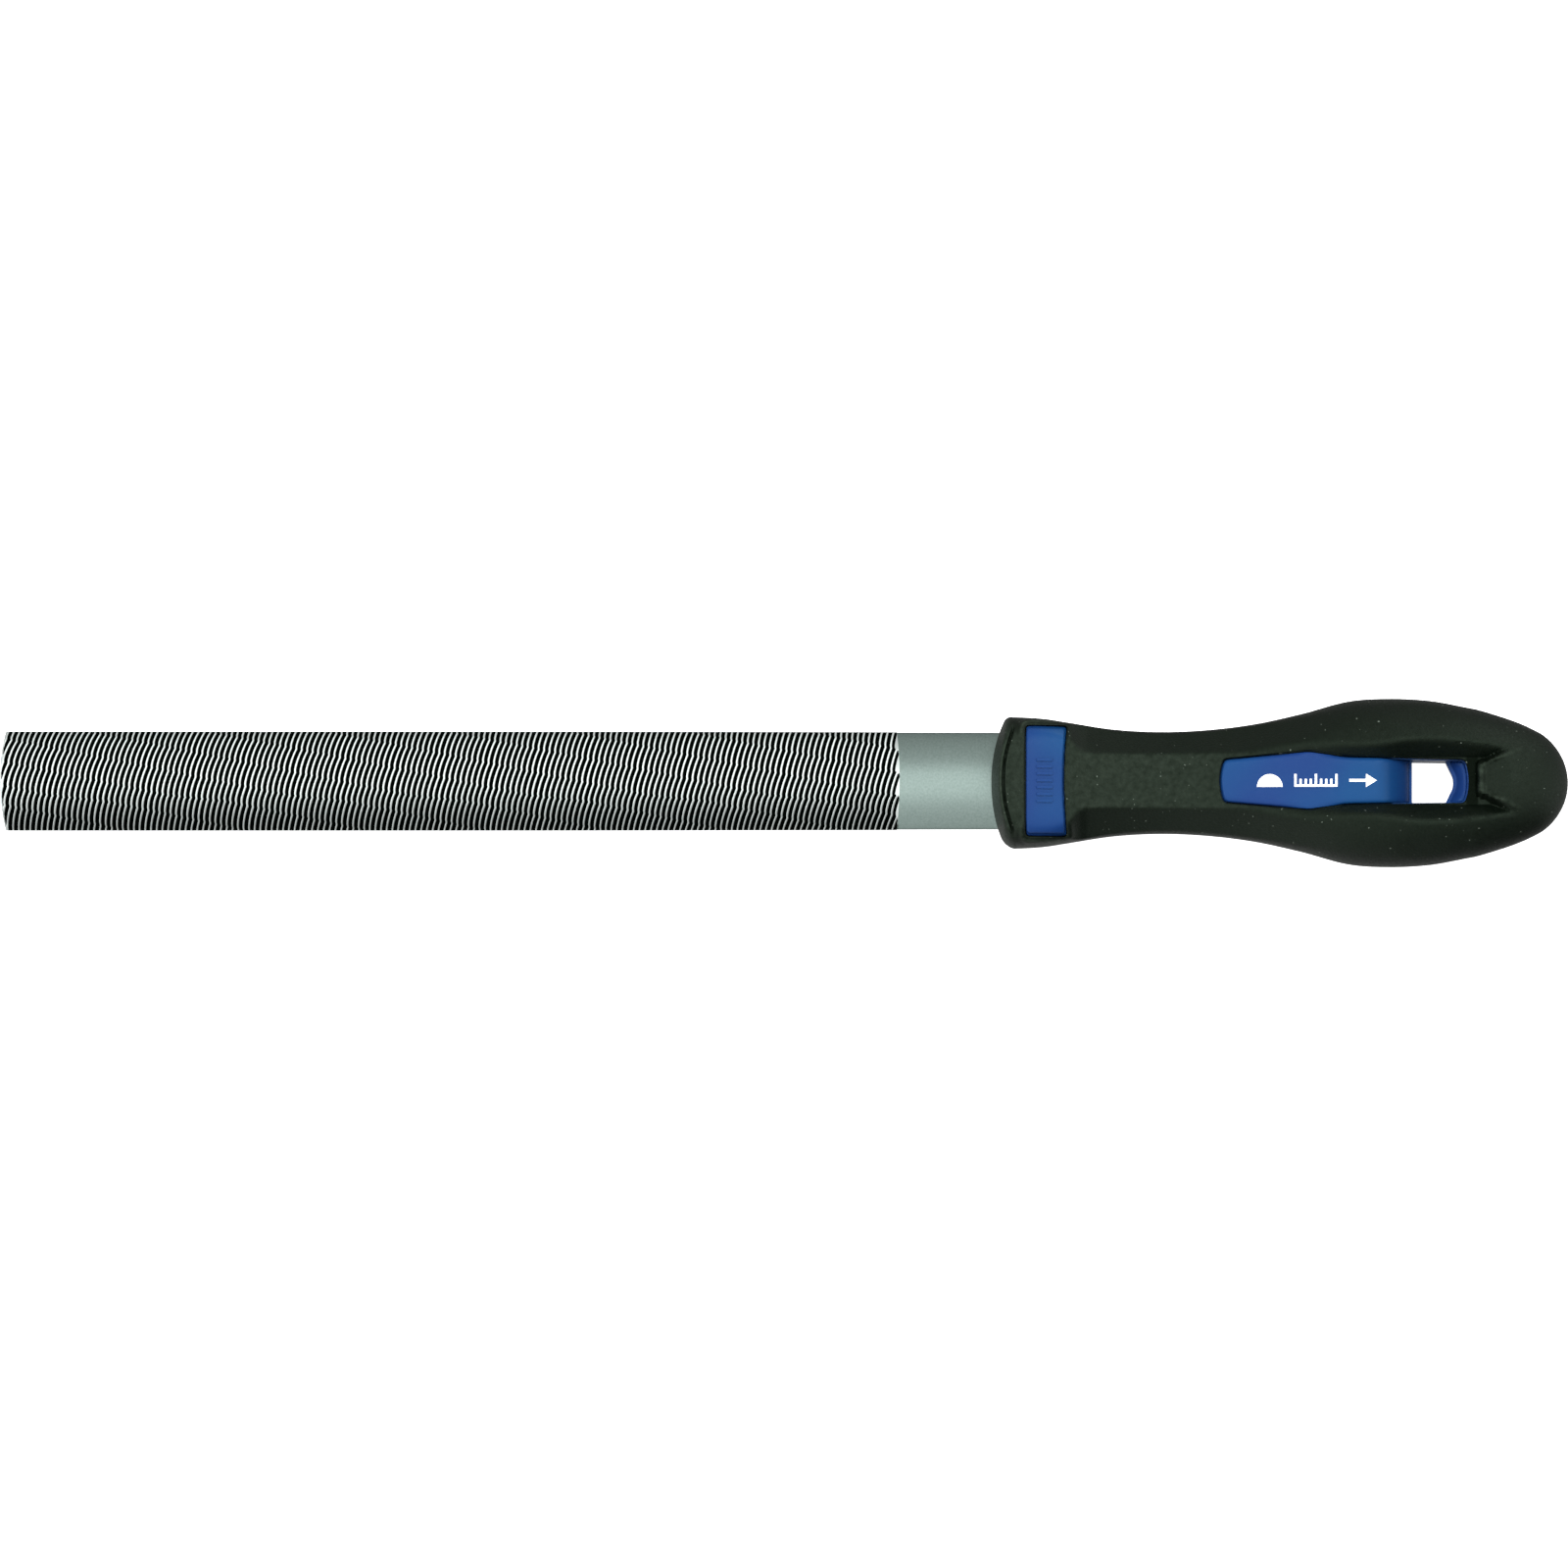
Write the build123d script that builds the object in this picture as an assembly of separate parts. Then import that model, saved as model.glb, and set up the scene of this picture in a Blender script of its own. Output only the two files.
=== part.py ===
from build123d import *
import math
import os

# A half-round file with a two-component handle, in millimetres. +X runs from the blade's tip to the
# handle's butt, and the rounded side of the blade faces +Z. The parts are modelled about the handle's
# axis and then lifted, so that the origin is midway along the tool, on the surface that it lies on.

# Blade
TOTAL_LENGTH = 320.0
BLADE_WIDTH = 20.0
BLADE_THICKNESS = 6.0
EDGE_THICKNESS = 0.5        # the flat left along each edge of the half-round section
CREST_RISE = 0.1            # how far the cutting stroke raises the teeth above the plain heel
TIP_X = -TOTAL_LENGTH / 2
TIP_BULGE = 1.1             # how far the tip's end stands out at the middle of its width
TIP_CHAMFER = 0.2
CUT_END_X = 23.0            # the teeth end here and the plain heel starts
SHOULDER_X = 45.5           # the blade has its full width up to here
TANG_ROOT_X = 50.0
TANG_END_X = 105.0
TANG_ROOT_WIDTH = 11.0
TANG_END_WIDTH = 5.0
TANG_ROOT_THICKNESS = 4.0
TANG_END_THICKNESS = 3.0
TANG_Z = -0.85              # the tang's middle, which lies nearer to the flat side
SOCKET_END_X = 109.0        # the socket runs on past the tang

# Handle
HANDLE_FRONT_X = 42.3
HANDLE_BUTT_X = TOTAL_LENGTH / 2
FRONT_DOME_RADIUS = 44.0
FRONT_ROUNDING = 1.6
BUTT_CENTRE_X = 140.0       # the butt's outline is half an ellipse about this place
BUTT_LENGTH = 20.2          # that ellipse's half length, cut a little short at the butt
WALL = 2.6                  # thickness of the soft grip over the hard core
PAD_DEPTH = 0.35            # how far the core's pads lie below the grip's surface
CORE_FRONT_X = 46.0
CORE_REAR_X = 151.0

# The handle's half width, half height and squareness along X, without the rounding of its butt
HALF_WIDTH = [
    (41, 13.2), (46, 13.3), (52.8, 12.9), (57.6, 12.2), (67.2, 10.7), (76.8, 10.2), (86.4, 10.6),
    (96, 11.8), (105.6, 13.9), (115.2, 16.5), (123.6, 17.15), (132, 16.4), (141.6, 14.55), (160, 13.9),
]
HALF_HEIGHT = [
    (41, 12.2), (50, 12.2), (62, 10.8), (76.8, 9.9), (90, 10.6), (105.6, 13.0), (120, 14.3),
    (132, 13.9), (146, 12.0), (160, 11.6),
]
SQUARENESS = [(41, 2.7), (60, 2.5), (90, 2.4), (120, 2.25), (160, 2.1)]

# The flat along the middle of the top and bottom, which turns into a trough around the hanging hole
FLAT_HALF_WIDTH = [(30, 6.0), (60, 5.4), (95, 5.4), (125, 4.9), (139.2, 4.9), (143.5, 2.4), (170, 2.4)]
FLAT_LEVEL = [
    (30, 12.7), (46.5, 12.4), (50.5, 11.4), (62, 10.0), (76.8, 9.1), (90, 9.5), (107, 10.7), (116, 10.8),
    (122, 10.4), (128, 8.8), (134, 8.0), (140, 7.9), (170, 7.9),
]
TROUGH_START_X = 98.0
TROUGH_FULL_X = 118.0
TROUGH_SLOPE = 1.2          # rise of the trough's sides over their run
TROUGH_REACH = 20.0         # the sides' run, which ends outside the handle
RAMP_START_X = 141.0
RAMP_SLOPE = 0.38           # the ramp that closes the trough towards the butt

# Windows in the grip that show the core's pads, and the hanging hole, as outlines seen from above
FRONT_WINDOW_START_X = 49.2
FRONT_WINDOW_END_X = 57.8
FRONT_WINDOW_HOLLOW = 0.7   # its rear side curves in by this much
FRONT_WINDOW_HALF_WIDTH = 11.4
REAR_WINDOW_BULGE = 0.6     # its front side curves out by this much
REAR_WINDOW = [(89.8, 4.5), (107.0, 6.1), (115.0, 4.9), (139.2, 4.5)]
WINDOW_ROUNDING = 0.9
HOLE_START_X = 128.0
HOLE_SIDE_END_X = 135.0     # its straight sides end here
HOLE_END_X = 136.6          # and its curved rear side reaches this far
HOLE_HALF_WIDTH = 4.3

STATION_STEP = 6.0
FLAT_START_X = 40.0         # ahead of the handle
FLAT_STATION_STEP = 4.0
BUTT_STATIONS = (0.35, 0.62, 0.83, 1.0)   # shares of the last stretch, closer where it curves more
SECTION_POINTS = 28
FAR = 40.0                  # past every surface of the handle


def between(knots, x):
    """The value at x of a smooth curve through the knots."""
    if x <= knots[0][0]:
        return knots[0][1]
    if x >= knots[-1][0]:
        return knots[-1][1]
    i = next(i for i in range(len(knots) - 1) if x <= knots[i + 1][0])
    slopes = []
    for j in (i, i + 1):
        low, high = max(j - 1, 0), min(j + 1, len(knots) - 1)
        slopes.append((knots[high][1] - knots[low][1]) / (knots[high][0] - knots[low][0]))
    (x0, y0), (x1, y1) = knots[i], knots[i + 1]
    run = x1 - x0
    t = (x - x0) / run
    ends = y0 * (2 * t**3 - 3 * t**2 + 1) + y1 * (3 * t**2 - 2 * t**3)
    return ends + run * (slopes[0] * (t**3 - 2 * t**2 + t) + slopes[1] * (t**3 - t**2))


def butt_share(x):
    """1 along the handle, falling towards 0 at its rounded butt."""
    past = max(0.0, x - BUTT_CENTRE_X) / BUTT_LENGTH
    return math.sqrt(1 - past**2)


def handle_section(x, inset):
    """The handle's rounded outline across X, drawn in by inset."""
    half_width = between(HALF_WIDTH, x) * butt_share(x) - inset
    half_height = between(HALF_HEIGHT, x) * butt_share(x) - inset
    power = 2 / between(SQUARENESS, x)
    points = []
    for i in range(SECTION_POINTS):
        angle = 2 * math.pi * i / SECTION_POINTS
        across, up = math.cos(angle), math.sin(angle)
        y = math.copysign(half_width * abs(across) ** power, across)
        z = math.copysign(half_height * abs(up) ** power, up)
        points.append(Vector(x, y, z))
    return Face(Wire([Spline(*points, periodic=True)]))


def flat_section(x, inset):
    """What the flat and the trough's sides cut off across X, lowered by inset."""
    opened = min(1.0, max(0.0, (x - TROUGH_START_X) / (TROUGH_FULL_X - TROUGH_START_X)))
    floor = between(FLAT_LEVEL, x) - inset
    inner = between(FLAT_HALF_WIDTH, x)
    outer = inner + TROUGH_REACH
    rim = floor + TROUGH_SLOPE * opened * TROUGH_REACH
    corners = [(outer, FAR), (outer, rim), (inner, floor), (-inner, floor), (-outer, rim), (-outer, FAR)]
    return Plane.YZ.offset(x) * make_face(Polyline(*corners, close=True))


def flat_cutter(inset):
    """What is cut from the handle's top: everything over the flat, the trough and the end ramp."""
    count = round((HANDLE_BUTT_X + STATION_STEP - FLAT_START_X) / FLAT_STATION_STEP)
    over_flat = loft([flat_section(FLAT_START_X + i * FLAT_STATION_STEP, inset) for i in range(count + 1)])
    floor = between(FLAT_LEVEL, RAMP_START_X) - inset
    ramp = Polyline(
        (RAMP_START_X, floor), (RAMP_START_X + FAR, floor + RAMP_SLOPE * FAR),
        (RAMP_START_X + FAR, 0), (RAMP_START_X, 0), close=True,
    )
    return over_flat - extrude(Plane.XZ * make_face(ramp), FAR, both=True)


def handle_body(start_x, end_x, inset):
    """The handle's shape from start_x to end_x, drawn in by inset, with its flats and troughs."""
    stations = [start_x]
    while stations[-1] < end_x - 2 * STATION_STEP:
        stations.append(stations[-1] + STATION_STEP)
    last = stations[-1]
    stations += [last + (end_x - last) * share for share in BUTT_STATIONS]
    cutter = flat_cutter(inset)
    return loft([handle_section(x, inset) for x in stations]) - cutter - mirror(cutter, Plane.XY)


def column(outline):
    """A prism of the outline, running up and down past the whole handle."""
    return extrude(outline, FAR, both=True)


def front_window():
    """The window in the grip near the blade."""
    start, end, side = FRONT_WINDOW_START_X, FRONT_WINDOW_END_X, FRONT_WINDOW_HALF_WIDTH
    outline = make_face([
        Polyline((end, side), (start, side), (start, -side), (end, -side)),
        ThreePointArc((end, -side), (end - FRONT_WINDOW_HOLLOW, 0), (end, side)),
    ])
    return column(fillet(outline.vertices(), WINDOW_ROUNDING))


def rear_window():
    """The long window in the grip, which takes in the hanging hole."""
    below = [(x, -y) for x, y in reversed(REAR_WINDOW)]
    front_corner = REAR_WINDOW[0]
    outline = make_face([
        Polyline(*REAR_WINDOW, *below),
        ThreePointArc(below[-1], (front_corner[0] - REAR_WINDOW_BULGE, 0), front_corner),
    ])
    return column(fillet(outline.vertices(), WINDOW_ROUNDING))


def hanging_hole():
    """The hole through the core, straight in front and curved behind."""
    start, side_end, side = HOLE_START_X, HOLE_SIDE_END_X, HOLE_HALF_WIDTH
    outline = make_face([
        Polyline((side_end, side), (start, side), (start, -side), (side_end, -side)),
        ThreePointArc((side_end, -side), (HOLE_END_X, 0), (side_end, side)),
    ])
    return column(outline)


def half_round(start_x, end_x, inset):
    """A stretch of the blade's half-round bar, drawn in by inset."""
    side = BLADE_WIDTH / 2 - inset
    flat = -BLADE_THICKNESS / 2 + inset
    top = BLADE_THICKNESS / 2 - inset
    edge = flat + EDGE_THICKNESS
    section = make_face([
        Polyline((side, edge), (side, flat), (-side, flat), (-side, edge)),
        ThreePointArc((-side, edge), (0, top), (side, edge)),
    ])
    return extrude(Plane.YZ.offset(start_x) * section, end_x - start_x)


def blade_outline():
    """The blade seen from above: a bowed tip, straight sides and hollow shoulders down to the tang."""
    side = BLADE_WIDTH / 2
    root = TANG_ROOT_WIDTH / 2
    corner = TIP_X + TIP_BULGE
    hollow = side - math.sqrt(0.5) * (side - root)
    hollow_x = TANG_ROOT_X - math.sqrt(0.5) * (TANG_ROOT_X - SHOULDER_X)
    return make_face([
        ThreePointArc((corner, -side), (TIP_X, 0), (corner, side)),
        Line((corner, side), (SHOULDER_X, side)),
        ThreePointArc((SHOULDER_X, side), (hollow_x, hollow), (TANG_ROOT_X, root)),
        Line((TANG_ROOT_X, root), (TANG_ROOT_X, -root)),
        ThreePointArc((TANG_ROOT_X, -root), (hollow_x, -hollow), (SHOULDER_X, -side)),
        Line((SHOULDER_X, -side), (corner, -side)),
    ])


def tang_section(x):
    """The tang's rectangle across X. It narrows evenly, so the socket has the same sides."""
    along = (x - TANG_ROOT_X) / (TANG_END_X - TANG_ROOT_X)
    width = TANG_ROOT_WIDTH + along * (TANG_END_WIDTH - TANG_ROOT_WIDTH)
    thickness = TANG_ROOT_THICKNESS + along * (TANG_END_THICKNESS - TANG_ROOT_THICKNESS)
    return Plane.YZ.offset(x) * Pos(0, TANG_Z) * Rectangle(width, thickness)


def blade_bar():
    """The blade without its tang: the toothed stretch, the plain heel and the shoulders."""
    toothed = half_round(TIP_X, CUT_END_X, 0)
    heel = half_round(CUT_END_X, TANG_ROOT_X, CREST_RISE)
    bar = (toothed + heel) & column(blade_outline())
    tip_edges = bar.edges().filter_by(lambda edge: edge.bounding_box().max.X < TIP_X + 1.5 * TIP_BULGE)
    return chamfer(tip_edges, TIP_CHAMFER)


def tang(end_x):
    """The tapered tang, from inside the shoulders to end_x."""
    return loft([tang_section(SHOULDER_X), tang_section(end_x)])


def front_trim():
    """What is cut from the handle's front to leave it slightly domed."""
    block = Pos(HANDLE_FRONT_X, 0, 0) * Box(FAR, 2 * FAR, 2 * FAR)
    return block - Pos(HANDLE_FRONT_X + FRONT_DOME_RADIUS, 0, 0) * Sphere(FRONT_DOME_RADIUS)


def handle_core(core_body, windows):
    """The hard core, with a pad in each window, the tang's socket and the hanging hole."""
    pads = handle_body(HANDLE_FRONT_X, RAMP_START_X + STATION_STEP, PAD_DEPTH) & windows
    return core_body + pads - tang(SOCKET_END_X) - blade_bar() - hanging_hole()


def grip(core_body, windows):
    """The soft grip moulded over the core, open at the windows and slotted for the blade."""
    body = handle_body(HANDLE_FRONT_X - STATION_STEP, HANDLE_BUTT_X, 0) - front_trim()
    rim = [edge for edge in body.edges() if edge.bounding_box().max.X < CORE_FRONT_X]
    return fillet(rim, FRONT_ROUNDING) - core_body - windows - blade_bar()


def main():
    core_body = handle_body(CORE_FRONT_X, CORE_REAR_X, WALL)
    windows = front_window() + rear_window()
    parts = {
        "blade": blade_bar() + tang(TANG_END_X),
        "handle_core": handle_core(core_body, windows),
        "grip": grip(core_body, windows),
    }
    lift = -parts["grip"].bounding_box().min.Z
    os.makedirs("parts", exist_ok=True)
    for name, shape in parts.items():
        export_step(Pos(0, 0, lift) * shape, f"parts/{name}.step")
    print(f"the handle's axis is {lift:.3f} mm up")


main()
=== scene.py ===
import bmesh
import bpy
import math
import numpy as np
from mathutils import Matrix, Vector


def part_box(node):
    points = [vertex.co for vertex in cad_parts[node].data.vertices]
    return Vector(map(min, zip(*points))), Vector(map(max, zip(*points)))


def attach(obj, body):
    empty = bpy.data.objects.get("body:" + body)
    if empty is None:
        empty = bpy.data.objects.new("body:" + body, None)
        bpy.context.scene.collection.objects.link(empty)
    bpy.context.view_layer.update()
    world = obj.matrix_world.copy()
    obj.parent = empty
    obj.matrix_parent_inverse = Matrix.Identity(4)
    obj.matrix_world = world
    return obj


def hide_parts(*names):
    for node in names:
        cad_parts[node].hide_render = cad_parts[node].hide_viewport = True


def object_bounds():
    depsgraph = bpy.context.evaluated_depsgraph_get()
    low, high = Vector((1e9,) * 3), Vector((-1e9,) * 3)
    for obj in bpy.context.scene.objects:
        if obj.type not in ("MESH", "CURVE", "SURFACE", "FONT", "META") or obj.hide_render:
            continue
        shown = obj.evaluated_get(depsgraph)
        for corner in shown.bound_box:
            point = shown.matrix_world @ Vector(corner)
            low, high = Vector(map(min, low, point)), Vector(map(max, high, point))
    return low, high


# Looks for the half-round file. Every shape is worked out in millimetres about the handle's
# axis, with +X from the blade's tip to the handle's butt and the blade's rounded side towards
# +Z, and put_down() turns it into metres in the frame.

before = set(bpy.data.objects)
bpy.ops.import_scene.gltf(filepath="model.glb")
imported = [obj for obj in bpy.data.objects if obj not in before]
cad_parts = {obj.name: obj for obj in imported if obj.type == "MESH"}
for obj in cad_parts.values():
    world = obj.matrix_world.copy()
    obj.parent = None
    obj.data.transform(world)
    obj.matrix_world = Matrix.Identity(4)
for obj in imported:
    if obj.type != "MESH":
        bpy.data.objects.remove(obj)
CAD_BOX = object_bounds()
MM = 0.001

# Blade
BLADE_LOW, BLADE_HIGH = (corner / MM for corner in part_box("blade"))
TIP_X = BLADE_LOW.x
TANG_END_X = BLADE_HIGH.x
BLADE_HALF = (BLADE_HIGH.y - BLADE_LOW.y) / 2
BLADE_HALF_THICK = (BLADE_HIGH.z - BLADE_LOW.z) / 2
AXIS_Z = (BLADE_HIGH.z + BLADE_LOW.z) / 2
EDGE_THICKNESS = 0.5
CREST_RISE = 0.1
TIP_BULGE = 1.1
TIP_ROUND = 0.2
BLADE_OFFSET = 0.55         # the blade stands this far to one side of the handle's axis
WIDTH_SHARE = [(-160, 1.014), (-40, 1.013), (20, 1.003), (28, 1.001), (45, 0.997)]
CUT_END_X = 23.0
CUT_END_BOW = 0.6           # the cut runs this much further along the middle
SHOULDER_X = 45.5
TANG_ROOT_X = 50.0
TANG_ROOT_HALF, TANG_END_HALF = 5.5, 2.5
TANG_ROOT_RISE, TANG_END_RISE = 2.0, 1.5
TANG_Z = -0.85
HEEL_ROWS = [30.0, 36.0, 41.0]

# Teeth of the rounded side, cut in courses that run slowly across the blade
TOOTH_PITCH = 1.181
GULLET_DEPTH = 0.5
TOOTH_LEAN = 0.245          # run along X of a row over its run across the blade
ROW_CURVE = (-6.65e-5, -21.6)   # how a row's bend changes along X, and where it is straight
COURSE_PITCH = 24.5         # from one course's edge to the next along X
COURSE_RUN = 5.0            # how far a course's edge runs along X over its run across the blade
COURSE_EDGE_X = -92.3       # where one course's edge crosses the blade's middle
COURSE_STEP = 5.5           # the edges lie this much further back on the -Y side
COURSE_STEP_Y, COURSE_STEP_WIDTH = -2.9, 1.6    # where that begins, and over how much of Y
COURSE_SLOPES = [
    (0, -0.35), (0.06, -0.1), (0.14, 0.14), (0.3, 0.22), (0.6, 0.3), (0.88, 0.38), (1, 0.45),
]
COURSE_SAMPLES = 51
LAST_ROW_SHARE = 0.35       # a row starts only if this much of it fits before the cut's end
EDGE_DEPTH_SHARE = 0.55     # of the blade's thickness near its edges, the most that a gullet takes
TOOTH_FADE = 0.5            # over which the teeth deepen behind the tip
EDGE_SHADE_SHARE, EDGE_SHADE_Y, EDGE_SHADE_WIDTH = 0.035, -4.5, 4     # painted shade: past here the crests are painted a little narrower, dimming them along the -Y edge
TOOTH_PROFILE = [(0.0, 1.0), (0.12, 0.12), (0.2, 0.0), (0.46, 0.155), (0.62, 0.5), (0.84, 1.0)]
TOOTH_SAMPLES_ROUND = 76

# Teeth of the flat side: a coarse cut crossed by a second one
FLAT_PITCH = 1.4
FLAT_DEPTH = 0.32
FLAT_LEAN = 0.75
CROSS_PITCH = 1.6
CROSS_LEAN = -0.35
FLAT_PROFILE = [(0.0, 1.0), (0.2, 0.05), (0.5, 0.1), (0.85, 1.0)]
TOOTH_SAMPLES_FLAT = 50
CROSS_SHARE = 0.75          # of the second cut's depth against the first's
FLAT_GULLET_SHADE = 0.22        # painted shade: its crests are broad, so only the deepest places are painted dark

# Handle
HANDLE_FRONT_X = 42.2
HANDLE_BUTT_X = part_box("grip")[1].x / MM
FRONT_DOME_ACROSS, FRONT_DOME_UP = 31.0, 46.0   # radii of the domed front face
BUTT_CENTRE_X = 140.0
WALL = 2.6
CORE_FRONT_X, CORE_REAR_X = 46.0, 151.0
FRONT_FACE_X, BODY_START_X, BUTT_START_X = 45.0, 47.0, 148.0    # where the grid changes its lines
HALF_WIDTH = [
    (41, 13.3), (46, 13.35), (52.8, 13.0), (57.6, 12.3), (67.2, 10.9), (76.8, 10.4), (86.4, 10.8),
    (96, 12.0), (105.6, 14.1), (115.2, 16.65), (123.6, 17.2), (132, 16.75), (140, 15.3), (146, 14.3),
    (152, 14.2), (156, 14.9), (160, 15.2),
]
HALF_HEIGHT = [
    (41, 12.2), (50, 12.2), (62, 10.8), (76.8, 9.9), (90, 10.6), (105.6, 13.0), (120, 14.3),
    (132, 13.9), (146, 12.0), (160, 11.6),
]
SQUARENESS = [(41, 3.6), (57, 3.6), (67, 2.6), (90, 2.4), (120, 2.25), (160, 2.1)]
FLAT_HALF_WIDTH = [(30, 6.0), (60, 5.4), (95, 5.4), (125, 4.9), (170, 4.7)]
FLAT_LEVEL = [
    (30, 12.7), (46.5, 12.4), (50.5, 11.4), (62, 10.0), (76.8, 9.1), (90, 9.5), (107, 10.7),
    (116, 10.8), (122, 10.4), (128, 8.8), (134, 8.0), (140, 7.8), (152, 7.3), (170, 6.6),
]
FACET_SLOPE = 1.05          # of the neck's side facets
FACET_LIFT = [(50, 7), (57.6, 3.4), (61.5, 0.1), (92, 0.1), (104, 3), (120, 9), (160, 9)]
TROUGH_START_X, TROUGH_FULL_X, TROUGH_SLOPE = 98.0, 118.0, 1.2
TONGUE_START_X = 141.0      # the tongue rises from the trough's floor towards the butt
TONGUE_RISE = 1.0
TONGUE_SLOPE = 0.36
TONGUE_MIDDLE_Y = 0.5
TONGUE_HALF_WIDTH = 2.9
TONGUE_SPREAD = 0.42
TONGUE_BEAD_PAST, TONGUE_BEAD_RISE = 1.1, 1.0       # the bead across its front
TONGUE_RIDGE_RISE = 0.8     # the ridges along its sides
TONGUE_SIDE_SLOPE, TONGUE_FRONT_SLOPE = 2.2, 2.8

# Windows and hanging hole
FRONT_WINDOW_START_X, FRONT_WINDOW_END_X = 49.2, 57.8
FRONT_WINDOW_HOLLOW = 0.7
FRONT_WINDOW_HALF_WIDTH = 11.4
REAR_WINDOW = [(89.6, 4.45), (106.9, 6.0), (114.6, 4.9), (138.8, 4.4)]
REAR_WINDOW_BULGE = 0.8
WINDOW_ROUNDING = 0.9
PAD_GAP = 0.2
WINDOW_FLOOR = 1.0          # the windows' pockets in the grip end this far from the axis
HOLE_START_X, HOLE_SIDE_END_X, HOLE_END_X = 128.1, 134.9, 136.55
HOLE_HALF_WIDTH = 4.3
HOLE_END_HALF = 0.9
HOLE_EDGE_RADIUS = 6.5
FAR = 40.0

# Rolled edges, grooves and welts
WINDOW_ROLL_FRONT, WINDOW_ROLL_REAR = 0.5, 0.4
WELT_PLACE, WELT_REACH, WELT_RISE = 0.95, 0.38, 0.22
GROOVE_PLACE, GROOVE_BOW, GROOVE_REACH, GROOVE_DEPTH = 0.85, 0.5, 0.28, 0.62
PAD_ROLL_FRONT, PAD_ROLL_REAR = 0.45, 0.7
PAD_SINK_FRONT, PAD_SINK_REAR = 0.35, 0.12
PAD_DIPS = [(120.5, 7.0, 1.5), (132.5, 3.5, 0.8)]   # start, run and depth towards the hole

# Marks
INK_THICKNESS = 0.04
SIGN_HALF, SIGN_LINE = 1.3, 0.45
BAR_START_X, BAR_END_X = 51.5, 54.7
BAR_PITCH, BAR_HALF, BAR_HEIGHT = 1.4, 0.3, 0.35
MARK_FLOOR = 6.0            # marks are on the top side, over this height

# Finishes
# Painted light on the teeth: the gullets' near-black is painted shade over a little dark oxide, and
# the crests' brightness is a painted highlight over bright cut steel.
GULLET_SHADE_STEEL, CREST_HIGHLIGHT_STEEL = (0.0004, 0.001, 0.0007), (0.93, 1.0, 0.97)
HEEL_STEEL_DARK, HEEL_STEEL_LIGHT = (0.307, 0.402, 0.37), (0.387, 0.488, 0.455)
BLUE_VIOLET, BLUE_TEAL = (0.0064, 0.0255, 0.1155), (0.0045, 0.038, 0.1255)
BLUE_SHEEN = (0.55, 0.85, 1, 1)
# The rubber's own dark colour is on its sides; its flats are paler as painted light where they face
# up.
SIDES_DARK, SIDES_LIGHT = (0.0003, 0.001, 0.0003), (0.0008, 0.0017, 0.0009)
LIT_FLATS_DARK, LIT_FLATS_LIGHT = (0.0024, 0.0044, 0.0024), (0.0155, 0.0215, 0.0155)
RUBBER_SHEEN = (0.74, 1.0, 0.76, 1)
DUST = (0.16, 0.19, 0.16)
INK_THIN, INK_FULL = (0.86, 0.88, 0.9), (1.0, 1.0, 1.0)

# Studio. The tent's brightness runs from its -Y side (0) over the top (0.5) to its +Y side (1).
TENT = [
    (0.0, 0.63), (0.035, 0.68), (0.215, 0.88), (0.45, 1.0), (0.695, 0.645), (0.835, 0.465),
    (1.0, 0.335),
]
TENT_SCALE = 1.27
TENT_BELOW = 0.55           # its strength well below the floor
SOFTBOXES = [                # name, place, size and radiance
    ("beyond_handle", (0.95, 0.75, 1.6), (0.7, 1.5), 1.75),
    ("beyond_back", (0.85, 1.3, 0.35), (0.8, 0.9), 1.5),
    ("tip_side", (-1.5, 0.1, 0.8), (0.6, 0.7), 2.6),
]
OVERHEAD = ("overhead", (-0.2, 0.55, 2.1), (0.8, 0.8), 31.0)
CAMERA_ELEVATION = 87
CAMERA_LENS, CAMERA_SENSOR = 800, 36
CAMERA_AIM_Y = -0.2


def put_down(points):
    """Points in millimetres about the handle's axis, as metres in the frame."""
    placed = np.array(points, dtype=float)
    placed[..., 2] += AXIS_Z
    return placed * MM


def between(knots, x):
    """The values at x of a smooth curve through the knots."""
    knots = np.array(knots, dtype=float)
    xs, ys = knots[:, 0], knots[:, 1]
    slopes = np.empty(len(xs))
    slopes[1:-1] = (ys[2:] - ys[:-2]) / (xs[2:] - xs[:-2])
    slopes[0] = (ys[1] - ys[0]) / (xs[1] - xs[0])
    slopes[-1] = (ys[-1] - ys[-2]) / (xs[-1] - xs[-2])
    x = np.clip(x, xs[0], xs[-1])
    i = np.clip(np.searchsorted(xs, x, side="right") - 1, 0, len(xs) - 2)
    run = xs[i + 1] - xs[i]
    t = (x - xs[i]) / run
    ends = ys[i] * (2 * t**3 - 3 * t**2 + 1) + ys[i + 1] * (3 * t**2 - 2 * t**3)
    return ends + run * (slopes[i] * (t**3 - 2 * t**2 + t) + slopes[i + 1] * (t**3 - t**2))


def smooth_step(value):
    """0 below 0, 1 above 1, and an easy S between."""
    t = np.clip(value, 0, 1)
    return t * t * (3 - 2 * t)


def soft_min(a, b, blend):
    """The smaller of a and b, rounded where they meet."""
    h = np.maximum(blend - np.abs(a - b), 0) / blend
    return np.minimum(a, b) - h * h * blend / 4


def soft_max(a, b, blend):
    """The larger of a and b, rounded where they meet."""
    return -soft_min(-a, -b, blend)


def hump(value, place, reach):
    """1 at the place, and gone about two reaches from it."""
    return np.exp(-(((value - place) / reach) ** 2))


# ---------------------------------------------------------------- meshes

def grid_faces(rows, columns, first=0, closed=False):
    """Quads of a grid stored row by row. A closed grid joins its last column to its first."""
    faces = []
    for r in range(rows - 1):
        for c in range(columns if closed else columns - 1):
            d = (c + 1) % columns
            low, high = first + r * columns, first + (r + 1) * columns
            faces.append((low + c, low + d, high + d, high + c))
    return faces


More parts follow.
